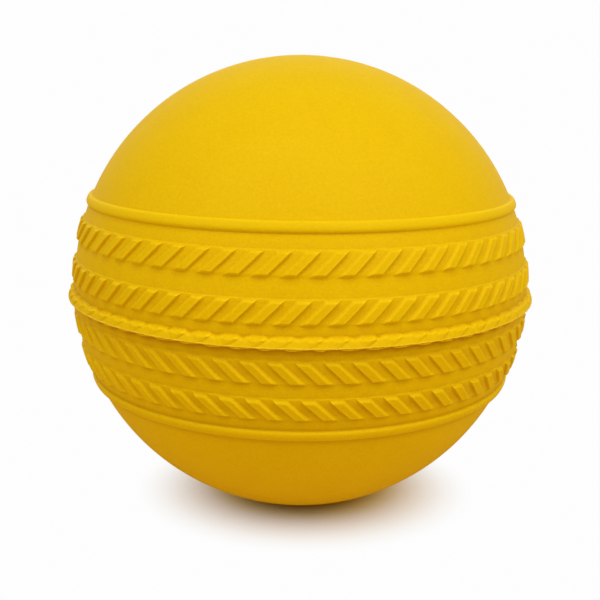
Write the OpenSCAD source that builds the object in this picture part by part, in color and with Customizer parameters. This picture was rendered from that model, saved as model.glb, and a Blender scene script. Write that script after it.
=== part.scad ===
// Moulded practice cricket ball
//
// A hollow rubber ball made of two half shells, bonded in a bevelled joint round the
// middle. The seam is moulded in relief: a centre ridge with a thin ledge under it, two
// rows of slanted bars on each half and a half-round bead beyond them. Millimetres. The
// origin is the middle of the ball and +Z runs through the poles, so the seam lies flat
// round the origin. Longitude 0 faces -Y and grows towards +X. Latitude is the angle
// from the middle.

/* [Ball] */
// Diameter over the smooth caps
ball_d = 72; // [66:0.5:80]
// Wall thickness of both half shells
wall_t = 5.5; // [4:0.1:8]

/* [Bead rings] */
// Latitude of both beads, in degrees
bead_lat = 22.9; // [22:0.1:26]
// Width of a bead where it leaves the cap
bead_w = 1.7; // [1.3:0.05:2]
// Height of a bead above the cap
bead_h = 0.57; // [0.35:0.01:0.6]

/* [Rows of slanted bars] */
// Latitude of the upper outer row, in degrees
upper_outer_lat = 15.5; // [14.9:0.1:16.5]
// Latitude of the upper inner row, in degrees
upper_inner_lat = 5.7; // [5.3:0.1:7]
// Latitude of the lower inner row, in degrees below the middle
lower_inner_lat = 7.1; // [6.5:0.1:7.8]
// Latitude of the lower outer row, in degrees below the middle
lower_outer_lat = 16; // [15.4:0.1:16.6]
// Width of an outer row, from foot to foot
outer_row_w = 3.7; // [3.2:0.05:3.9]
// Width of an inner row, from foot to foot
inner_row_w = 3.5; // [3:0.05:3.6]
// Bars in an outer row
outer_bars = 60; // [44:1:64]
// Bars in the upper inner row
upper_inner_bars = 64; // [48:1:66]
// Bars in the lower inner row
lower_inner_bars = 62; // [48:1:66]
// Height of a bar above the cap
bar_h = 0.5; // [0.35:0.01:0.6]
// Width of a bar's flat top, measured across the bar
bar_w = 1.02; // [0.8:0.01:1.2]
// Angle that a bar leans from the ball's axis, in degrees
bar_slant = 45; // [35:1:50]
// Run of the sloped flank of a bar, from its top to the pocket beside it
flank_run = 0.24; // [0.15:0.01:0.3]
// Run of the bevel at both ends of a bar
end_bevel = 0.42; // [0.2:0.01:0.5]
// Height of a pocket's flat floor above the cap, at the middle of its row
pocket_h = 0.05; // [0.03:0.01:0.1]

/* [Centre ridge] */
// Height of the ridge's crest above the cap
ridge_h = 1.05; // [1.01:0.01:1.2]
// Distance from the crest up to the foot of the ridge
upper_foot = 1.3; // [1.1:0.02:1.5]
// Distance from the crest up to the shoulder of the ridge
upper_shoulder = 0.92; // [0.7:0.02:1]
// Height of the shoulder above the cap
shoulder_h = 0.66; // [0.5:0.01:0.8]
// Distance from the crest down to the edge of the ledge under it
ledge_t = 0.38; // [0.3:0.01:0.5]
// Height of the ledge's edge above the cap
ledge_h = 0.98; // [0.75:0.01:1]
// Distance from the crest down to the foot of the ledge's underside
lower_foot = 0.8; // [0.7:0.02:1.1]
// Blocks that shape the ridge like a rope
ridge_blocks = 64; // [48:1:66]
// Width of the floor of the notch between two blocks
upper_notch_w = 1; // [0.7:0.05:1.2]
// Depth of a notch where it meets the crest
upper_notch_cut = 0.15; // [0.1:0.01:0.2]
// Distance from the crest at which the floor of a notch meets the cap
upper_notch_foot = 1.08; // [1:0.02:1.3]
// Width of the floor of the scallop between two lobes of the ledge
lower_notch_w = 0.3; // [0.2:0.05:0.6]
// Depth of a scallop where it meets the crest
lower_notch_cut = 0.06; // [0.05:0.01:0.1]
// Distance from the crest at which the floor of a scallop meets the cap
lower_notch_foot = 0.64; // [0.6:0.02:0.8]

/* [Joint] */
// How far the joint, and the crest with it, lies below the middle of the ball
joint_drop = 0.8; // [0:0.05:1]
// Thickness of the cured cement between the half shells
bond_t = 0.16; // [0.1:0.02:0.3]
// How far the cement stands out of the crest
bond_lip = 0.06; // [0.02:0.01:0.15]
// Rise of the bevelled joint from the crest to the cavity
joint_rise = 1.8; // [1:0.1:3]

/* [Hidden] */
$fn = 240;

// The ball
ball_r = ball_d/2;
cavity_r = ball_r - wall_t;
rubber_yellow = [0.94, 0.72, 0.09];
cement_yellow = [0.85, 0.62, 0.10];

// How deep the root of a relief reaches into the wall, and how far a cut overruns
root_t = 0.8;
overrun = 0.5;

// The bead is a round cord half sunk in the cap
bead_cord_r = (bead_w*bead_w/4 + bead_h*bead_h)/(2*bead_h);

// Longitude of the middle of one pocket in each row
upper_outer_turn = 2.85;
upper_inner_turn = 1.1;
lower_inner_turn = -0.35;
lower_outer_turn = 1;

// Longitude of the middle of one notch on each side of the crest
upper_notch_turn = -1.35;
lower_notch_turn = 1.6;

// The upper side of the ridge is broad and the lower side is a thin ledge. The joint
// comes out between them, at the crest
crest_r = ball_r + ridge_h;
joint_slope = joint_rise/(crest_r - cavity_r);
upper_root = upper_foot + (upper_foot - upper_shoulder)*root_t/shoulder_h;
lower_root = lower_foot + (lower_foot - ledge_t)*root_t/ledge_h;

// How far the notches lean from the ball's axis, and how far their flanks open, measured
// from the middle plane of a notch
upper_notch_lean = 40;
lower_notch_lean = 0;
upper_flank_angle = 50;
lower_flank_angle = 68;

// Point of an outline at a distance from the middle of the ball and a latitude
function polar(r, lat) = [r*cos(lat), r*sin(lat)];

// Angle that a length along the cap takes up, in degrees
function cap_angle(length) = length/ball_r*180/PI;

// Height of the joint's middle surface at a radius
function joint_z(r) = (crest_r - r)*joint_slope - joint_drop;

// Half plane of the outlines, to the right of the ball's axis
module outline_side() {
  translate([0, -ball_d])
    square([ball_d, 2*ball_d]);
}

// Everything above the joint, from a gap above its middle surface
module above_joint(gap) {
  polygon([
    [0, joint_z(0) + gap],
    [ball_d, joint_z(ball_d) + gap],
    [ball_d, ball_d],
    [0, ball_d]
  ]);
}

// Everything below the joint, from a gap below its middle surface
module below_joint(gap) {
  polygon([
    [0, joint_z(0) - gap],
    [0, -ball_d],
    [ball_d, -ball_d],
    [ball_d, joint_z(ball_d) - gap]
  ]);
}

// Outline of the plain wall with the round cord of its bead
module wall_outline(lat) {
  difference() {
    union() {
      circle(r = ball_r);
      translate(polar(ball_r + bead_h - bead_cord_r, lat))
        circle(r = bead_cord_r);
    }
    circle(r = cavity_r);
  }
}

// Outline of the whole centre ridge, rooted in the wall
module ridge_outline() {
  translate([ball_r, -joint_drop])
    polygon([
      [-root_t, upper_root],
      [-root_t, -lower_root],
      [ledge_h, -ledge_t],
      [ridge_h, 0],
      [shoulder_h, upper_shoulder]
    ]);
}

// Outline of a raised row with bevelled edges, before its pockets are cut
module row_outline(lat, row_w) {
  half_angle = cap_angle(row_w/2);
  root_angle = cap_angle(end_bevel*root_t/bar_h);
  top_angle = cap_angle(end_bevel*overrun/bar_h);
  intersection() {
    circle(r = ball_r + bar_h);
    polygon([
      polar(ball_r - root_t, lat - half_angle - root_angle),
      polar(ball_r + overrun, lat - half_angle + top_angle),
      polar(ball_r + overrun, lat + half_angle - top_angle),
      polar(ball_r - root_t, lat + half_angle + root_angle)
    ]);
  }
}

// One straight trough of a given depth: a flat floor whose flanks open outwards
module trough(floor_w, flank_slope, depth, length) {
  mouth_w = floor_w + 2*depth*flank_slope;
  linear_extrude(height = length, center = true)
    polygon([
      [0, -floor_w/2],
      [depth, -mouth_w/2],
      [depth, mouth_w/2],
      [0, floor_w/2]
    ]);
}

// A row of slanted bars: a raised ring, cut by straight pockets whose flat floors
// come out shallower at the edges of the row, because the ball curves away from them
module bar_row(lat, row_w, bars, lean, turn) {
  bar_pitch = 2*PI*ball_r*cos(lat)/bars*cos(bar_slant);
  floor_w = bar_pitch - bar_w - 2*flank_run;
  flank_slope = flank_run/(bar_h - pocket_h);
  length = row_w/cos(bar_slant) + bar_pitch*tan(bar_slant) + overrun;
  difference() {
    rotate_extrude()
      row_outline(lat, row_w);
    for (i = [0 : bars - 1])
      rotate([0, 0, turn - 90 + i*360/bars])
        rotate([0, -lat, 0])
          translate([ball_r + pocket_h, 0, 0])
            rotate([-lean*bar_slant, 0, 0])
              trough(floor_w, flank_slope, bar_h + overrun, length);
  }
}

// The notches of the ridge, above the crest with a side of 1 and below it with a side
// of -1. Their floors run straight from the crest to the cap.
module notches(side, turn, foot, cut, lean, floor_w, flank_angle) {
  tilt = atan((ridge_h - cut)/foot);
  for (i = [0 : ridge_blocks - 1])
    rotate([0, 0, turn - 90 + i*360/ridge_blocks])
      translate([crest_r - cut, 0, -joint_drop])
        rotate([0, -side*tilt, 0])
          rotate([-side*lean, 0, 0])
            trough(floor_w, tan(flank_angle), ridge_h, 2*(upper_foot + ridge_h));
}

module upper_half_shell() {
  color(rubber_yellow)
    union() {
      rotate_extrude()
        intersection() {
          wall_outline(bead_lat);
          outline_side();
          above_joint(bond_t/2);
        }
      difference() {
        rotate_extrude()
          intersection() {
            ridge_outline();
            above_joint(bond_t/2);
          }
        notches(1, upper_notch_turn, upper_notch_foot, upper_notch_cut, upper_notch_lean,
                upper_notch_w, upper_flank_angle);
      }
      bar_row(upper_outer_lat, outer_row_w, outer_bars, 1, upper_outer_turn);
      bar_row(upper_inner_lat, inner_row_w, upper_inner_bars, 1, upper_inner_turn);
    }
}

module lower_half_shell() {
  color(rubber_yellow)
    union() {
      rotate_extrude()
        intersection() {
          wall_outline(-bead_lat);
          outline_side();
          below_joint(bond_t/2);
        }
      difference() {
        rotate_extrude()
          intersection() {
            ridge_outline();
            below_joint(bond_t/2);
          }
        notches(-1, lower_notch_turn, lower_notch_foot, lower_notch_cut, lower_notch_lean,
                lower_notch_w, lower_flank_angle);
      }
      bar_row(-lower_outer_lat, outer_row_w, outer_bars, -1, lower_outer_turn);
      bar_row(-lower_inner_lat, inner_row_w, lower_inner_bars, -1, lower_inner_turn);
    }
}

// A cone-shaped ring that fills the joint and shows as a fine line round the crest
module bond_ring() {
  lip_r = crest_r + bond_lip;
  color(cement_yellow)
    rotate_extrude()
      polygon([
        [cavity_r, joint_z(cavity_r) - bond_t/2],
        [lip_r, joint_z(lip_r) - bond_t/2],
        [lip_r, joint_z(lip_r) + bond_t/2],
        [cavity_r, joint_z(cavity_r) + bond_t/2]
      ]);
}

upper_half_shell();
lower_half_shell();
bond_ring();
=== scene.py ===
# Moulded practice cricket ball
#
# A hollow ball of yellow rubber, made of two half shells that are bonded round the middle.
# Blender works in metres, with the origin in the middle of the ball and +Z through the
# poles. Sizes below are in millimetres and angles in degrees, and MM turns millimetres into
# metres. Longitude 0 faces -Y, where the camera stands, and grows towards +X.

from collections import namedtuple

import bpy
import numpy as np
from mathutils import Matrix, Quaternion, Vector


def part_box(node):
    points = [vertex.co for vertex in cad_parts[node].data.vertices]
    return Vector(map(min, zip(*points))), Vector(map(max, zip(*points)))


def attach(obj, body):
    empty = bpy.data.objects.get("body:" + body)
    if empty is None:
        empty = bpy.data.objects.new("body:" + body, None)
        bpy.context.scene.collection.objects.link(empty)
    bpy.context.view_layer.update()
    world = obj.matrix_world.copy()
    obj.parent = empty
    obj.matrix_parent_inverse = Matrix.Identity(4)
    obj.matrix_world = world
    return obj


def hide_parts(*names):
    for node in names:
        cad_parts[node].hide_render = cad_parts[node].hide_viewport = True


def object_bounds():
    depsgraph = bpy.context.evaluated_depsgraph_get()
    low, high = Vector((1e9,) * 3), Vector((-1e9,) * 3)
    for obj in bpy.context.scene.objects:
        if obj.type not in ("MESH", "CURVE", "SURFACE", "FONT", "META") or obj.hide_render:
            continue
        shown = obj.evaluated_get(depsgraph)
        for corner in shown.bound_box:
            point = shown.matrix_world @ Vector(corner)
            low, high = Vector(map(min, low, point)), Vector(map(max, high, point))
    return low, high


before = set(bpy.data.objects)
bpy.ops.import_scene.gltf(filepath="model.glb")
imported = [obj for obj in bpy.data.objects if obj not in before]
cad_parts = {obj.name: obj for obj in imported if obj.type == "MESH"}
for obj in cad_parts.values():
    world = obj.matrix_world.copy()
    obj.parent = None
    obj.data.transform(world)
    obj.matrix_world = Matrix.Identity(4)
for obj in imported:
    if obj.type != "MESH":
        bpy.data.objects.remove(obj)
cad_low, cad_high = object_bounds()

# Upper half shell
# The upper half of the ball, pressed from yellow rubber in a heated mould. Its bead, its two
# rows of slanted bars and its side of the centre ridge are one with the wall. Its bevelled
# lower edge is bonded to the lower half shell.
MM = 0.001
BALL_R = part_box("upper_half_shell")[1].z/MM
WALL_T = 5.5
CAVITY_R = BALL_R - WALL_T

# The bead. A power of 2 would make its outline half an ellipse, and 3 makes it fuller.
BEAD_W = 1.62
BEAD_H = 0.57
BEAD_POWER = 3

# The slanted bars. Places across a bar are measured from its middle towards the flank that
# faces up, which is gentle and round. The other flank is steep. The end that faces up has a
# longer bevel too. The pockets have a thin plate for a floor, which reaches a little past
# that end of the bars and thins out at the other.
BAR_H = 0.5
BAR_SLANT = 45
GENTLE_FLANK = (0.42, 0.8)
STEEP_FLANK = (-0.55, -0.67)
UPPER_BEVEL = 0.44
LOWER_BEVEL = 0.37
PLATE_H = 0.07
PLATE_LIP = 0.12
PLATE_FADE = 0.35
BAR_EDGE = 0.055
FLANK_EDGE = 0.06

# The centre ridge, whose crest lies at the joint. Lengths are measured from the crest, along
# the ball. Above the joint it is moulded like the strands of a rope. Each strand is cut off
# by a slanted facet, widest at its foot, and swells a little under it. A leaning crease parts
# it from the next. Strands are a little off their even places, and not all equally deep.
JOINT_DROP = 0.72
RIDGE_H = 1.05
RIDGE_BLOCKS = 64
RIDGE_EDGE = 0.07
SHOULDER = 0.86
SHOULDER_H = 0.7
FACET_FOOT = 1.4
FACET_LEFT = (0.8, 1)
FACET_RIGHT = (0.32, 1.09)
FACET_CORNER = 0.1
FACET_EDGE = 0.16
SWELL = 0.15
SWELL_RUN = 0.6
DIP = 0.24
DIP_HALF_W = 1.1
DIP_MIDDLE = 0.3
DIP_EDGE = 0.05
STRAND_RISE = 2.4
STRAND_EDGE = 0.3
STRAND_SHIFT = 0.16
STRAND_SPREAD = 0.5
CREASE_START = -0.13
CREASE_CUT = 0.12
CREASE_HALF_W = 0.4
CREASE_EDGE = 0.2
CREASE_LEAN = 54

# The bevelled joint runs in from the crest of the ridge and rises to the cavity
CREST_R = BALL_R + RIDGE_H
JOINT_RISE = 1.8
BOND_T = 0.16

# Slow waves that a moulded rubber wall keeps, all of them below the nominal surface
WAVE_DEPTH = 0.03
WAVE_LENGTHS = (9, 13, 17, 22, 27)

# Circles looked at round a place, to find hollows for painted shade and edges for painted highlight
# and wear: their radius and their points
HOLLOW_CIRCLES = ((0.5, 8), (1.1, 10))
EDGE_CIRCLES = ((0.18, 8),)

# Columns of the mesh round the belt, the ridge, the cap near the pole, the joint and the
# cavity, and places of columns across a bar and the pocket after it
COLUMNS = 450
RIDGE_COLUMNS = 1408
CAP_COLUMNS = (30, 75, 150, 300)
JOINT_COLUMNS = (RIDGE_COLUMNS, 900, COLUMNS, 240, 120, 120)
CAVITY_COLUMNS = 120
BAR_LINES = (-0.75, -0.7, -0.66, -0.61, -0.55, -0.48, -0.1, 0.26,
             0.34, 0.42, 0.52, 0.64, 0.76, 0.86, 1.18, 1.5)

# Steps between rings of the mesh on the cap, on the plain strips and at the edge of the
# joint, how deep in the joint the next ring lies, and the rings of the cavity and the
# latitude of the last of them
CAP_STEP = 1.1
STRIP_STEP = 0.6
JOINT_STEP = 0.015
JOINT_START = 0.2
CAVITY_RINGS = 30
CAVITY_TOP = 88

# Places of rings, as shares of half a bead, of the lip of a plate, of a bevel, of the flat
# part of a bar, and of the foot, the wall and the face of the ridge
BEAD_PLACES = np.array([1.25, 1.1, 1, 0.92, 0.8, 0.62, 0.4, 0.14])
LIP_PLACES = np.array([1.4, 1, 0.5, 0])
BEVEL_PLACES = np.array([0.25, 0.5, 0.75, 1, 1.25])
FLAT_PLACES = np.array([0.6, 0.2])
FOOT_PLACES = np.array([0.5, 0.2])
WALL_END = 1.15
WALL_PLACES = np.arange(0, WALL_END, 0.1)
FACE_PLACES = np.array([0.8, 0.6, 0.4, 0.2])

# A row of bars: its latitude, its width from foot to foot, how many bars it has and the
# longitude where they start. The floor of a pocket climbs a little to the gentle flank of the
# next bar, and the top of a bar falls a little to its steep flank.
Row = namedtuple("Row", "lat width bars turn climb fall")

# How dark the painted shade is in the hollows of the belt and beside the bead, and how pale the
# painted highlight on the bead's top
Tones = namedtuple("Tones", "hollows bead_foot bead_top")

SEED = 11
draw = np.random.default_rng(SEED)


def lower_of(a, b, corner):
    """The lower of two heights. Where they lie within a corner's size of each other, a
    parabola rounds the corner between them."""
    share = np.clip(0.5 + (b - a)/(2*corner), 0, 1)
    return b + (a - b)*share - corner*share*(1 - share)


def higher_of(a, b, corner):
    """The higher of two heights, rounded in the same way."""
    return -lower_of(-a, -b, corner)


def to_nearest(lon, first, pitch):
    """Angle from a longitude to the nearest of a row of places that repeat at a pitch."""
    return lon - first - pitch*np.round((lon - first)/pitch)


def bead_relief(away, lat):
    """Height of the bead over the cap: its full height times the root of what is left of 1
    after a power of the distance from its middle, as a share of half its width."""
    off = 2*np.abs(away - np.radians(lat)*BALL_R)/BEAD_W
    return BEAD_H*np.sqrt(np.maximum(1 - off**BEAD_POWER, 0))


def lean_angle(along, slant, lat):
    """Turn round the ball of a slanted line over a length up the ball: the length times the
    tangent of the slant, over the radius of the circle at its latitude."""
    return np.degrees(along*np.tan(np.radians(slant))/(BALL_R*np.cos(np.radians(lat))))


def bar_pitch(row):
    """Distance between the middles of two bars, measured across them: the way round the row
    over the number of bars, times the cosine of their slant."""
    round_row = 2*np.pi*BALL_R*np.cos(np.radians(row.lat))
    return round_row/row.bars*np.cos(np.radians(BAR_SLANT))


def row_relief(away, lon, row, side):
    """Height of a row of slanted bars. A bar is the lowest of its top, its two flanks and the
    bevels at its ends. The floor of the pockets is as high as the plate, and the ball curves
    away from it, so it stands out a little more at the edges of the row. The relief is the
    higher of the bar and the floor, which ends at the plate's lip."""
    along = away - np.radians(row.lat)*BALL_R
    pitch = 360/row.bars
    middle = row.turn + pitch/2 + lean_angle(along, BAR_SLANT, row.lat)
    across = -side*to_nearest(lon, middle, pitch)/pitch*bar_pitch(row)
    past = np.where(across < 0, across + bar_pitch(row), across) - GENTLE_FLANK[1]
    room = bar_pitch(row) + STEEP_FLANK[1] - GENTLE_FLANK[1]
    floor = PLATE_H + row.climb*np.clip(1 - past/room, 0, 1) + along**2/(2*BALL_R)
    top = BAR_H - row.fall*(GENTLE_FLANK[0] - across)
    gentle, steep = [PLATE_H + (BAR_H - PLATE_H)*(foot - across)/(foot - edge)
                     for edge, foot in (GENTLE_FLANK, STEEP_FLANK)]
    to_upper, to_lower = row.width/2 - side*along, row.width/2 + side*along
    end = lower_of(to_upper*BAR_H/UPPER_BEVEL, to_lower*BAR_H/LOWER_BEVEL, BAR_EDGE)
    bar = lower_of(lower_of(lower_of(top, gentle, FLANK_EDGE), steep, BAR_EDGE), end, BAR_EDGE)
    lip = lower_of((to_upper + PLATE_LIP)*BAR_H/UPPER_BEVEL, to_lower*PLATE_FADE, BAR_EDGE)
    return higher_of(bar, lower_of(floor, lip, BAR_EDGE), BAR_EDGE)


def strand_number(lon, first, shifts):
    """Distance round the crest from a longitude to the nearest of the strands or wedges, and
    the number of that one. Each is a little off its even place."""
    pitch = 360/RIDGE_BLOCKS
    number = np.round((lon - first)/pitch)
    place = number.astype(int) % RIDGE_BLOCKS
    return np.radians(lon - first - number*pitch)*CREST_R - shifts[place], place


def soft_step(distance, width):
    """A smooth climb from 0 to 1 over a width, with its middle at a distance of nought: three
    times the square of the share of the width, less twice its cube."""
    share = np.clip(distance/width + 0.5, 0, 1)
    return share*share*(3 - 2*share)


def rope_relief(out, lon, first, shifts, deep):
    """Height of the ridge above the joint, over the distance out from its crest. A nearly
    flat face ends in a steep wall, whose foot dips towards the crest between two facets.
    Within a facet, a slope takes the place of the wall. A shallow groove is the crease, and
    the face swells towards the facet on its left."""
    out = np.maximum(out, 0)
    along, place = strand_number(lon, first, shifts)
    groove = along - CREASE_START - out*np.tan(np.radians(CREASE_LEAN))
    swell = soft_step(along + FACET_LEFT[0], SWELL_RUN)*soft_step(-groove, CREASE_HALF_W)
    shoulder = SHOULDER_H + SWELL*(1 + deep[place]/2)*swell
    face = RIDGE_H - (RIDGE_H - shoulder)*out/SHOULDER
    to_middle = np.pi*CREST_R/RIDGE_BLOCKS - np.abs(along)
    dip = DIP*(1 + deep[place])*lower_of(1 - to_middle/DIP_HALF_W, 1, DIP_MIDDLE)
    foot = FACET_FOOT - higher_of(dip, 0*dip, DIP_EDGE)
    body = lower_of(face, (foot - out)*STRAND_RISE, STRAND_EDGE)
    slope = lower_of(face, (FACET_FOOT - out)*shoulder/(FACET_FOOT - SHOULDER), RIDGE_EDGE)
    widen = (out - SHOULDER)/(FACET_FOOT - SHOULDER)
    left = FACET_LEFT[0] + (FACET_LEFT[1] - FACET_LEFT[0])*widen + along
    right = FACET_RIGHT[0] + (FACET_RIGHT[1] - FACET_RIGHT[0])*widen - along
    in_facet = soft_step(lower_of(left, right, FACET_CORNER), FACET_EDGE)
    cut = 1 - np.abs(groove)/CREASE_HALF_W
    crease = CREASE_CUT*(1 + deep[place])*higher_of(cut, 0*cut, CREASE_EDGE)
    return body + (slope - body)*in_facet - crease


def mean_climb(relief, away, lon, circles):
    """Mean climb from places of the relief to points on circles round them. It is above 0 in
    hollows and at the foot of walls, and below 0 along edges."""
    total = 0
    for reach, count in circles:
        for angle in 2*np.pi*np.arange(count)/count:
            shift = np.degrees(reach*np.sin(angle)/BALL_R/np.cos(away/BALL_R))
            climb = relief(away + reach*np.cos(angle), lon + shift) - relief(away, lon)
            total = total + climb/reach/count
    return total/len(circles)


wave_ways = draw.normal(size=(len(WAVE_LENGTHS), 3))
wave_ways /= np.linalg.norm(wave_ways, axis=1, keepdims=True)
wave_starts = draw.uniform(0, 2*np.pi, len(WAVE_LENGTHS))


def mould_waves(points):
    """Depth of the slow waves at points of the ball: the mean of sines that run in one way
    each, lowered so that none of them stands above the nominal surface."""
    phase = points @ (wave_ways.T*2*np.pi/np.array(WAVE_LENGTHS)) + wave_starts
    return WAVE_DEPTH*(np.sin(phase).mean(axis=-1) - 1)/2


def on_ball(r, lat, lon):
    """Points at a distance from the middle of the ball, a latitude and a longitude: the sine
    of the latitude goes up the axis, and its cosine out along the longitude."""
    lat, lon = np.radians(lat), np.radians(lon)
    parts = (r*np.cos(lat)*np.sin(lon), -r*np.cos(lat)*np.cos(lon), r*np.sin(lat))
    return np.stack(np.broadcast_arrays(*parts), axis=-1)


def joint_height(r):
    """Height of the middle of the bevelled joint, which rises evenly from the crest of the
    ridge in to the cavity."""
    return (CREST_R - r)*JOINT_RISE/(CREST_R - CAVITY_R) - JOINT_DROP


def even_columns(count):
    """Longitudes of evenly spaced columns."""
    return np.arange(count)*360/count


def bar_columns(row, side):
    """Longitudes of the columns at the middle of a row, in their order round the ball."""
    pitch = 360/row.bars
    lines = np.sort(-side*np.array(BAR_LINES))/bar_pitch(row)*pitch
    starts = row.turn + pitch/2 + np.arange(row.bars)*pitch
    return (starts[:, None] + lines).ravel()


def steps(start, end, step):
    """Places from start to end, both left out, at about the given step."""
    count = max(int(np.ceil(abs(end - start)/step)), 1)
    return start + (end - start)*np.arange(1, count)/count


def belt_rings(side, bead_lat, rows, foot, shoulder):
    """Rings of the belt from the bead to the crest of the ridge, as pairs of a distance from
    the circle halfway between the poles and the longitudes of the columns. In a row of bars
    the columns lean with the bars. Elsewhere they run straight across."""
    straight = even_columns(COLUMNS)
    bead = np.radians(bead_lat)*BALL_R
    offs = BEAD_W/2*BEAD_PLACES
    rings = [(bead + off, straight) for off in np.concatenate([offs, -offs[::-1]])]
    for row in rows:
        middle = np.radians(row.lat)*BALL_R
        lip = row.width/2 + PLATE_LIP*LIP_PLACES
        far, near = [np.append(lip, row.width/2 - bevel*BEVEL_PLACES)
                     for bevel in (UPPER_BEVEL, LOWER_BEVEL)[::side]]
        offs = np.concatenate([far, far[-1]*FLAT_PLACES, -near[-1]*FLAT_PLACES[::-1], -near[::-1]])
        rings += [(away, straight) for away in steps(rings[-1][0], middle + offs[0], STRIP_STEP)]
        lines = bar_columns(row, side)
        rings += [(middle + off, lines + lean_angle(off, BAR_SLANT, row.lat)) for off in offs]
    wall = foot - shoulder
    outs = np.concatenate([foot + wall*FOOT_PLACES, foot - wall*WALL_PLACES,
                           (foot - wall*WALL_END)*FACE_PLACES,
                           [BOND_T/2 + JOINT_STEP, BOND_T/2]])
    start = outs[0] - side*JOINT_DROP
    rings += [(away, straight) for away in steps(rings[-1][0], start, STRIP_STEP)]
    return rings + [(out - side*JOINT_DROP, even_columns(RIDGE_COLUMNS)) for out in outs]


def stitch(ring_a, ring_b, first_a, first_b):
    """Faces between two closed rings of points that are numbered from their first points.
    Rings of the same count are joined by squares. Other rings are joined by triangles: each
    edge of one ring to the point of the other beside it, in the order of their longitudes.
    A ring of one point is a pole."""
    count_a, count_b = len(ring_a), len(ring_b)
    a, b = np.arange(count_a), np.arange(count_b)
    if count_a == count_b:
        squares = [first_a + a, first_b + a,
                   first_b + (a + 1) % count_a, first_a + (a + 1) % count_a]
        return np.stack(squares, axis=1).tolist()
    if count_b == 1:
        return np.stack([first_a + a, first_b + 0*a, first_a + (a + 1) % count_a], axis=1).tolist()
    if count_a == 1:
        return np.stack([first_a + 0*b, first_b + b, first_b + (b + 1) % count_b], axis=1).tolist()
    lon_a, lon_b = [np.degrees(np.arctan2(ring[:, 0], -ring[:, 1])) for ring in (ring_a, ring_b)]
    start = lon_a[0]
    lon_a, lon_b = (lon_a - start) % 360, (lon_b - start) % 360
    lon_a[0] = 0
    turn = int(np.argmin(lon_b))
    lon_b = np.roll(lon_b, -turn)
    middle_a = (lon_a + np.append(lon_a[1:], 360))/2
    middle_b = (lon_b + np.append(lon_b[1:], 360 + lon_b[0]))/2
    beside_a = (np.searchsorted(middle_b, middle_a) + turn) % count_b
    beside_b = np.searchsorted(middle_a, middle_b) % count_a
    on_a = [first_a + a, first_b + beside_a, first_a + (a + 1) % count_a]
    on_b = [first_a + beside_b, first_b + (b + turn) % count_b, first_b + (b + turn + 1) % count_b]
    return np.stack(on_a, axis=1).tolist() + np.stack(on_b, axis=1).tolist()


def closed_mesh(name, rings, hollows, edges, flipped):
    """A smooth mesh object on rings of points in millimetres, from pole to pole. Each ring
    is joined to the next, and the last to the first where there are no poles. How much painted
    shade and how much painted highlight and wear each point has is kept with it."""
    starts = np.concatenate([[0], np.cumsum([len(ring) for ring in rings])])
    faces = []
    for k in range(len(rings) - 1):
        faces += stitch(rings[k], rings[k + 1], starts[k], starts[k + 1])
    if len(rings[0]) > 1:
        faces += stitch(rings[-1], rings[0], starts[-2], 0)
    if flipped:
        faces = [face[::-1] for face in faces]
    mesh = bpy.data.meshes.new(name)
    mesh.from_pydata((np.concatenate(rings)*MM).tolist(), [], faces)
    mesh.polygons.foreach_set("use_smooth", np.ones(len(faces), bool))
    for kind, values in (("hollow", hollows), ("edge", edges)):
        values = np.concatenate([value + np.zeros(len(ring)) for value, ring in zip(values, rings)])
        mesh.attributes.new(kind, "FLOAT", "POINT").data.foreach_set("value", values)
    mesh.update()
    piece = bpy.data.objects.new(name, mesh)
    bpy.context.scene.collection.objects.link(piece)
    return piece


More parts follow.
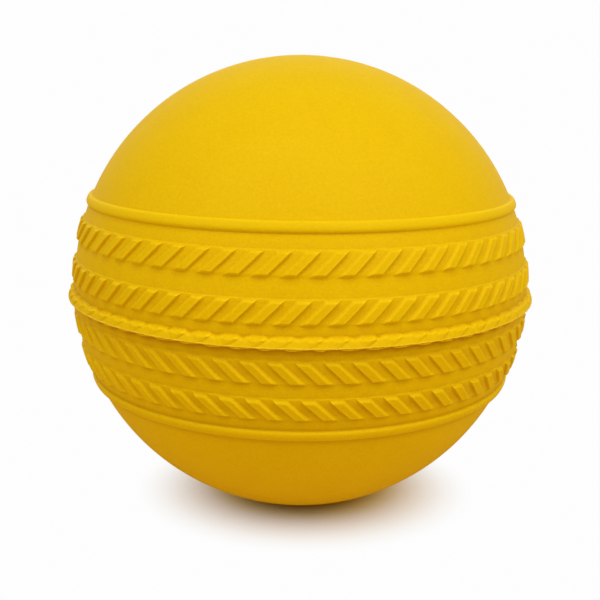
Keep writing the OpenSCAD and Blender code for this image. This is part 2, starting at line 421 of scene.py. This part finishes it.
def half_shell(name, side, bead_lat, rows, ridge, foot, shoulder, first, tones):
    """A closed half shell. Its rings run from the pole over the cap and the belt to the
    crest of the ridge, in along the bevelled joint and back to the pole inside the wall.
    A side of 1 is the upper half and -1 the lower one. Foot and shoulder are how far from
    the crest the ridge starts and its wall ends, and first is the longitude of the first
    strand or wedge."""
    shifts = draw.uniform(-STRAND_SHIFT, STRAND_SHIFT, RIDGE_BLOCKS)
    deep = draw.uniform(-STRAND_SPREAD, STRAND_SPREAD, RIDGE_BLOCKS)
    belt = belt_rings(side, bead_lat, rows, foot, shoulder)

    def belt_relief(away, lon):
        """Height over the cap: the highest of the rows of bars and the ridge."""
        height = ridge(away + side*JOINT_DROP, lon, first, shifts, deep)
        height = higher_of(height, 0*lon, BAR_EDGE)
        for row in rows:
            height = higher_of(row_relief(away, lon, row, side), height, BAR_EDGE)
        return height

    def bead(away, lon):
        """Height of the bead alone."""
        return bead_relief(away, bead_lat) + 0*lon

    def relief(away, lon):
        """Height over the cap with the bead."""
        return higher_of(bead(away, lon), belt_relief(away, lon), BAR_EDGE)

    rings = [on_ball(BALL_R, [side*90], [0])]
    first_ring = BALL_R*np.pi/2 - CAP_STEP
    for away in np.append(first_ring, steps(first_ring, belt[0][0], CAP_STEP)):
        reach = 2*np.pi*BALL_R*np.cos(away/BALL_R)
        count = next((n for n in CAP_COLUMNS if reach/n < CAP_STEP), COLUMNS)
        cap = on_ball(BALL_R, side*np.degrees(away/BALL_R), even_columns(count))
        rings.append(cap*(1 + mould_waves(cap)/BALL_R)[:, None])
    hollows, edges = [0]*len(rings), [0]*len(rings)
    for away, lon in belt:
        height = relief(away, lon)
        skin = on_ball(BALL_R, side*np.degrees(away/BALL_R), lon)
        rings.append(skin*(1 + (height + mould_waves(skin))/BALL_R)[:, None])
        # Painted shade: the hollows of the belt and the foot of the bead get a deeper yellow.
        # Painted highlight and wear: edges and the top of the bead get a paler one.
        in_belt = mean_climb(belt_relief, away, lon, HOLLOW_CIRCLES)
        by_bead = mean_climb(bead, away, lon, HOLLOW_CIRCLES)
        hollows.append(tones.hollows*in_belt + tones.bead_foot*np.maximum(by_bead, 0))
        sharp = mean_climb(relief, away, lon, EDGE_CIRCLES)
        edges.append(tones.bead_top*bead(away, lon)/BEAD_H - sharp)
    radii = np.linspace(BALL_R, CAVITY_R, len(JOINT_COLUMNS) - 1)
    for r, count in zip(np.append(CREST_R - JOINT_START, radii), JOINT_COLUMNS):
        rise = joint_height(r) + side*BOND_T/2
        lat = np.degrees(np.arctan2(rise, r))
        rings.append(on_ball(np.hypot(r, rise), lat, even_columns(count)))
    for lat in np.linspace(side*lat, CAVITY_TOP, CAVITY_RINGS)[1:]:
        rings.append(on_ball(CAVITY_R, side*lat, even_columns(CAVITY_COLUMNS)))
    rings.append(on_ball(CAVITY_R, [side*90], [0]))
    plain = [0]*(len(rings) - len(hollows))
    return closed_mesh(name, rings, hollows + plain, edges + plain, side < 0)


UPPER_BEAD_LAT = 23.15
FIRST_STRAND = 2.5
upper_rows = (Row(lat=15.6, width=3.51, bars=60, turn=3.23, climb=0.1, fall=0),
              Row(lat=5.78, width=3.36, bars=64, turn=1.45, climb=0, fall=0))
# The upper half has lighter painted shade in its hollows and a painted highlight on the top of its
# bead.
upper_tones = Tones(hollows=0.75, bead_foot=0, bead_top=0.28)
upper_shell = half_shell("upper_shell", 1, UPPER_BEAD_LAT, upper_rows, rope_relief,
                         FACET_FOOT, SHOULDER, FIRST_STRAND, upper_tones)


def nodes_of(owner):
    """The node tree of a material, a world or a node group, and a short call that adds a node
    to it with its inputs and settings."""
    tree = owner if hasattr(owner, "interface") else owner.node_tree

    def add(kind, inputs=None, **settings):
        """Adds a node. Inputs given as sockets are linked, and the others are set."""
        node = tree.nodes.new(kind)
        for key, value in settings.items():
            setattr(node, key, value)
        for key, value in (inputs or {}).items():
            if isinstance(value, bpy.types.NodeSocket):
                tree.links.new(value, node.inputs[key])
            else:
                node.inputs[key].default_value = value
        return node

    return tree, add


# The skin of the rubber: how much of its bump is grain and how much the turning lines of the
# mould, and how far the grain changes its colour and roughness
GRAIN_SHARE = 0.8
LINES_SHARE = 0.2
SPECK_RANGE = (0.3, 0.7)
SPECK = 0.04
ROUGHNESS_SPREAD = 0.06
SHEEN = 0.03


def moulded_grain():
    """Node group for the skin that rubber takes from its mould: a fine pebbled grain over a
    slower mottle, and faint turning lines of the mould that run round the ball. Its inputs
    are the scales of the three noises, in cells to a metre."""
    group = bpy.data.node_groups.new("moulded_grain", "ShaderNodeTree")
    tree, add = nodes_of(group)
    sockets = (("Grain", 2600.0), ("Mottle", 160.0), ("Turning lines", 2400.0))
    for name, value in sockets:
        socket = group.interface.new_socket(name, in_out="INPUT", socket_type="NodeSocketFloat")
        socket.default_value = value
    for name in ("Height", "Mottle", "Shade"):
        group.interface.new_socket(name, in_out="OUTPUT", socket_type="NodeSocketFloat")
    given = add("NodeGroupInput").outputs
    where = add("ShaderNodeTexCoord").outputs["Object"]
    fine = add("ShaderNodeTexNoise", {"Vector": where, "Scale": given["Grain"],
                                      "Detail": 3.0, "Roughness": 0.55})
    slow = add("ShaderNodeTexNoise", {"Vector": where, "Scale": given["Mottle"],
                                      "Detail": 4.0, "Roughness": 0.6})
    parts = add("ShaderNodeSeparateXYZ", {"Vector": where}).outputs
    flat = add("ShaderNodeCombineXYZ", {"Z": parts["Z"]}).outputs["Vector"]
    lines = add("ShaderNodeTexNoise", {"Vector": flat, "Scale": given["Turning lines"],
                                       "Detail": 2.0})
    grain = add("ShaderNodeMath", {0: fine.outputs["Fac"], 1: GRAIN_SHARE},
                operation="MULTIPLY").outputs[0]
    total = add("ShaderNodeMath", {0: lines.outputs["Fac"], 1: LINES_SHARE, 2: grain},
                operation="MULTIPLY_ADD").outputs[0]
    out = add("NodeGroupOutput")
    tree.links.new(total, out.inputs["Height"])
    tree.links.new(slow.outputs["Fac"], out.inputs["Mottle"])
    tree.links.new(fine.outputs["Fac"], out.inputs["Shade"])
    return group


grain_group = moulded_grain()

# The two yellows of the mottle, the yellow of painted shade in hollows and that of painted
# highlight and wear on edges, and how much of each a place has where it begins to show and where it
# shows fully
YELLOW_DEEP = (0.785, 0.475, 0.001, 1)
YELLOW_PALE = (0.82, 0.525, 0.002, 1)
PAINTED_SHADE_YELLOW = (0.52, 0.25, 0.0005, 1)
WEAR_AND_HIGHLIGHT_YELLOW = (0.9, 0.62, 0.004, 1)
PAINTED_SHADE_RANGE = (0, 0.75)
WEAR_AND_HIGHLIGHT_RANGE = (0.06, 0.9)


def rubber(name, pale, deep, roughness, grain_depth):
    """Satin rubber: a mottled yellow with the grain of its mould as a fine bump. Painted shade
    makes it deeper in the hollows of the relief, and painted highlight with some wear makes it
    paler along the edges."""
    material = bpy.data.materials.new(name)
    material.use_nodes = True
    tree, add = nodes_of(material)
    shader = tree.nodes["Principled BSDF"]
    grain = add("ShaderNodeGroup", node_tree=grain_group)
    mottle = add("ShaderNodeMix", {"Factor": grain.outputs["Mottle"], "A": deep, "B": pale},
                 data_type="RGBA").outputs["Result"]
    speck = add("ShaderNodeMapRange", {"Value": grain.outputs["Shade"],
                                       "From Min": SPECK_RANGE[0], "From Max": SPECK_RANGE[1],
                                       "To Min": 1 - SPECK, "To Max": 1 + SPECK})
    colour = add("ShaderNodeVectorMath", {0: mottle, "Scale": speck.outputs["Result"]},
                 operation="SCALE").outputs["Vector"]
    # Painted shade deepens the yellow in hollows, and painted highlight with some wear makes edges
    # paler.
    for kind, (start, end), tint in (("hollow", PAINTED_SHADE_RANGE, PAINTED_SHADE_YELLOW),
                                     ("edge", WEAR_AND_HIGHLIGHT_RANGE, WEAR_AND_HIGHLIGHT_YELLOW)):
        value = add("ShaderNodeAttribute", attribute_name=kind).outputs["Fac"]
        share = add("ShaderNodeMapRange", {"Value": value, "From Min": start, "From Max": end})
        colour = add("ShaderNodeMix", {"Factor": share.outputs["Result"], "A": colour, "B": tint},
                     data_type="RGBA").outputs["Result"]
    rough = add("ShaderNodeMapRange", {"Value": grain.outputs["Shade"],
                                       "To Min": roughness - ROUGHNESS_SPREAD,
                                       "To Max": roughness + ROUGHNESS_SPREAD})
    bump = add("ShaderNodeBump", {"Height": grain.outputs["Height"], "Distance": grain_depth*MM})
    tree.links.new(colour, shader.inputs["Base Color"])
    tree.links.new(rough.outputs["Result"], shader.inputs["Roughness"])
    tree.links.new(bump.outputs["Normal"], shader.inputs["Normal"])
    shader.inputs["Specular IOR Level"].default_value = SHEEN
    return material


yellow_rubber = rubber("yellow_rubber", YELLOW_PALE, YELLOW_DEEP,
                       roughness=0.5, grain_depth=0.07)
upper_shell.data.materials.append(yellow_rubber)
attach(upper_shell, "root")
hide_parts("upper_half_shell")

# Lower half shell
# The other half of the ball, pressed from the same rubber and bonded under the upper one. Its
# bars lean the other way, so that the rows look stitched across the ridge. Its side of the
# ridge is a thin ledge, cut into lobes by wedges that are steep on one side.
LEDGE_FOOT = 0.64
LEDGE_T = 0.26
LEDGE_H = 1
LEDGE_EDGE = 0.08
WEDGE_FOOT = 0.42
WEDGE_CUT = 0.2
WEDGE_RISE = (0.24, 0.6)

LOWER_BEAD_LAT = 22.45
FIRST_WEDGE = 2.2


def ledge_relief(out, lon, first, shifts, deep):
    """Height of the ridge below the joint. Its face falls back a little to the edge of the
    ledge, and its underside runs in to the cap. The bottom of each wedge climbs straight from
    its foot to the crest."""
    out = np.maximum(out, 0)
    face = RIDGE_H - (RIDGE_H - LEDGE_H)*out/LEDGE_T
    ledge = lower_of(face, (LEDGE_FOOT - out)*LEDGE_H/(LEDGE_FOOT - LEDGE_T), LEDGE_EDGE)
    across, place = strand_number(lon, first, shifts)
    wedge = RIDGE_H - WEDGE_CUT*(1 + deep[place]) - (RIDGE_H - WEDGE_CUT)*out/WEDGE_FOOT
    wedge = wedge + higher_of(-across*WEDGE_RISE[0], across*WEDGE_RISE[1], LEDGE_EDGE)
    return lower_of(ledge, wedge, LEDGE_EDGE)


lower_rows = (Row(lat=15.68, width=3.34, bars=60, turn=1.38, climb=0, fall=0.05),
              Row(lat=6.94, width=3.31, bars=62, turn=0.06, climb=0, fall=0.12))
# The lower half has deeper painted shade in its hollows and a painted shadow beside its bead.
lower_tones = Tones(hollows=1.35, bead_foot=1, bead_top=0)
lower_shell = half_shell("lower_shell", -1, LOWER_BEAD_LAT, lower_rows, ledge_relief,
                         LEDGE_FOOT, LEDGE_T, FIRST_WEDGE, lower_tones)
lower_shell.data.materials.append(yellow_rubber)
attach(lower_shell, "root")
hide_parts("lower_half_shell")

# Bond ring
# The film of cured rubber cement between the bevelled edges of the half shells. It squeezed
# out a little when they were pressed together, and stands as a fine, uneven line round the
# crest of the ridge.
LIP = 0.06
LIP_T = 0.6*BOND_T
LIP_ROUGHNESS = 0.05
LIP_WANDER = 0.09
LIP_WAVES = 12
LIP_WAVE_COUNTS = (20, 260)
LIP_COLUMNS = 1680
FILM_COLUMNS = 210
FILM_DEPTHS = (0.4, 0.1)
CEMENT_PALE = (0.88, 0.57, 0.03, 1)
CEMENT_DEEP = (0.82, 0.49, 0.006, 1)


def film_ring(r, z, lon):
    """Points of a ring round the axis of the ball, at a distance from the axis and a height:
    the sine and cosine of the longitude, times the distance."""
    lon = np.radians(lon)
    return np.stack(np.broadcast_arrays(r*np.sin(lon), -r*np.cos(lon), z), axis=-1)


def film_rings():
    """Rings of the film: out under its outer edge, over the lip, in along its upper side to
    the cavity and down its inner edge. The lip is a little rough, and wanders up and down.
    Both are the mean of sines that go round the ball whole numbers of times."""
    starts = draw.uniform(0, 2*np.pi, (2, LIP_WAVES))
    counts = draw.integers(*LIP_WAVE_COUNTS, (2, LIP_WAVES))
    lon = even_columns(LIP_COLUMNS)
    rough, wander = np.sin(np.radians(lon)[:, None, None]*counts + starts).mean(axis=-1).T
    lip_r = CREST_R + LIP + LIP_ROUGHNESS*(rough - np.abs(rough).max())
    lip = [film_ring(lip_r, joint_height(lip_r) + lift + LIP_WANDER*wander, lon)
           for lift in (-LIP_T/2, LIP_T/2)]
    under, over = [[film_ring(CREST_R - depth, joint_height(CREST_R - depth) + lift, lon)
                    for depth in FILM_DEPTHS] for lift in (-BOND_T/2, BOND_T/2)]
    inner = [film_ring(CAVITY_R, joint_height(CAVITY_R) + lift, even_columns(FILM_COLUMNS))
             for lift in (BOND_T/2, -BOND_T/2)]
    return under + lip + over[::-1] + inner


bond_rings = film_rings()
plain = [0]*len(bond_rings)
cement_line = closed_mesh("cement_line", bond_rings, plain, plain, True)
cement = rubber("rubber_cement", CEMENT_PALE, CEMENT_DEEP, roughness=0.4, grain_depth=0.02)
cement_line.data.materials.append(cement)
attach(cement_line, "root")
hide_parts("bond_ring")

# Floor
# A sheet that the camera sees as white as the background where it glows, away from the ball.
# Close to the ball the glow fades and the lamps' shadow shows, so the fade paints the outline of
# the shadow, stretched sideways and shifted a little to the right. Its warm tint and rim are
# painted bounce light from the rubber, and other rays see the sheet yellow, a painted warm bounce
# onto the ball.
FLOOR_W = 12000
# FLOOR_BOUNCE is the colour that all rays but the camera's see, a painted warm bounce onto the
# ball. SHADOW_TINT is a painted warm shadow colour and SHADOW_RIM a painted warm rim, and the
# shadow's start, end, stretch and shift shape the painted fade.
FLOOR_BOUNCE = (0.8, 0.63, 0.2, 1)
SHADOW_TINT = (0.82, 0.57, 0.05, 1)
SHADOW_RIM = (1, 0.97, 0.5, 1)
RIM_SHARE = 0.3
WHITE = 0.985
SHADOW_START = 8
SHADOW_END = 24.5
SHADOW_STRETCH = 1.2
SHADOW_SHIFT = 1
floor_mesh = bpy.data.meshes.new("floor")
corners = np.array([(-1, -1), (1, -1), (1, 1), (-1, 1)])*FLOOR_W/2*MM
floor_mesh.from_pydata([(x, y, cad_low.z) for x, y in corners.tolist()], [], [(0, 1, 2, 3)])
floor = bpy.data.objects.new("floor", floor_mesh)
bpy.context.scene.collection.objects.link(floor)
sheet = bpy.data.materials.new("white_sheet")
sheet.use_nodes = True
tree, add = nodes_of(sheet)
shader = tree.nodes["Principled BSDF"]
where = add("ShaderNodeTexCoord").outputs["Object"]
shift = (-SHADOW_SHIFT*MM/SHADOW_STRETCH, 0, 0)
flat = add("ShaderNodeMapping", {"Vector": where, "Location": shift,
                                 "Scale": (1/SHADOW_STRETCH, 1, 0)}).outputs[0]
reach = add("ShaderNodeVectorMath", {0: flat}, operation="LENGTH").outputs["Value"]
away = add("ShaderNodeMapRange", {"Value": reach, "From Min": SHADOW_START*MM,
                                  "From Max": SHADOW_END*MM},
           interpolation_type="SMOOTHSTEP").outputs["Result"]
seen = add("ShaderNodeLightPath").outputs["Is Camera Ray"]
# Painted shadow: the camera sees the sheet's glow fade out near the ball, down to a warm tint.
glow = add("ShaderNodeMath", {0: seen, 1: away}, operation="MULTIPLY").outputs[0]
shown = add("ShaderNodeMix", {"Factor": glow, "A": SHADOW_TINT, "B": (0, 0, 0, 1)},
            data_type="RGBA").outputs["Result"]
colour = add("ShaderNodeMix", {"Factor": seen, "A": FLOOR_BOUNCE, "B": shown},
             data_type="RGBA").outputs["Result"]
# Painted warm rim light at the edge of the shadow.
outer = add("ShaderNodeMapRange", {"Value": away, "From Max": RIM_SHARE}).outputs["Result"]
rim = add("ShaderNodeMix", {"Factor": outer, "A": SHADOW_RIM, "B": (1, 1, 1, 1)},
          data_type="RGBA").outputs["Result"]
strength = add("ShaderNodeMath", {0: glow, 1: WHITE}, operation="MULTIPLY").outputs[0]
tree.links.new(colour, shader.inputs["Base Color"])
tree.links.new(rim, shader.inputs["Emission Color"])
tree.links.new(strength, shader.inputs["Emission Strength"])
shader.inputs["Roughness"].default_value = 1
shader.inputs["Specular IOR Level"].default_value = 0
floor_mesh.materials.append(sheet)

# Light
# A white room that lights the ball weakly from all sides, a soft lamp high over the front of
# the ball, and one on each side of it, the right one stronger.
ROOM_LIGHT = 0.35
world = bpy.data.worlds.new("white_room")
bpy.context.scene.world = world
world.use_nodes = True
tree, add = nodes_of(world)
background = tree.nodes["Background"]
path = add("ShaderNodeLightPath").outputs
shown = add("ShaderNodeMath", {0: path["Is Camera Ray"], 1: path["Is Glossy Ray"]},
            operation="MAXIMUM").outputs[0]
strength = add("ShaderNodeMapRange", {"Value": shown, "To Min": ROOM_LIGHT, "To Max": WHITE})
tree.links.new(strength.outputs["Result"], background.inputs["Strength"])
background.inputs["Color"].default_value = (1, 1, 1, 1)

# How wide the lamps look from the ball, and for each one the way towards it and its strength
LAMP_SPREAD = 35
LAMPS = {"top_lamp": ((0, -0.342, 0.94), 0.83),
         "right_lamp": ((0.542, -0.455, 0.707), 1.07),
         "left_lamp": ((-0.542, -0.455, 0.707), 0.68)}
for name, (way, lamp_strength) in LAMPS.items():
    lamp_data = bpy.data.lights.new(name, "SUN")
    lamp_data.energy = lamp_strength
    lamp_data.angle = np.radians(LAMP_SPREAD)
    lamp = bpy.data.objects.new(name, lamp_data)
    lamp.rotation_euler = Vector(way).to_track_quat("Z", "Y").to_euler()
    bpy.context.scene.collection.objects.link(lamp)

# Camera
# It stands in front of the ball and a little above it, as in the photograph.
CAMERA_AT = Vector((0, -147.73, 32.21))
CAMERA_AIM = Vector((-0.02, -0.66, -3.04))
CAMERA_ROLL = -0.645
LENS = 55.12
SENSOR_W = 36
CLIP_START = 10
camera_data = bpy.data.cameras.new("camera")
camera_data.lens = LENS
camera_data.sensor_width = SENSOR_W
camera_data.clip_start = CLIP_START*MM
camera = bpy.data.objects.new("camera", camera_data)
line = CAMERA_AIM - CAMERA_AT
turn = line.to_track_quat("-Z", "Y")
roll = Quaternion(line.normalized(), np.radians(CAMERA_ROLL))
camera.location = CAMERA_AT*MM
camera.rotation_mode = "QUATERNION"
camera.rotation_quaternion = roll @ turn
bpy.context.scene.collection.objects.link(camera)
bpy.context.scene.camera = camera
bpy.context.scene.view_settings.view_transform = "Standard"
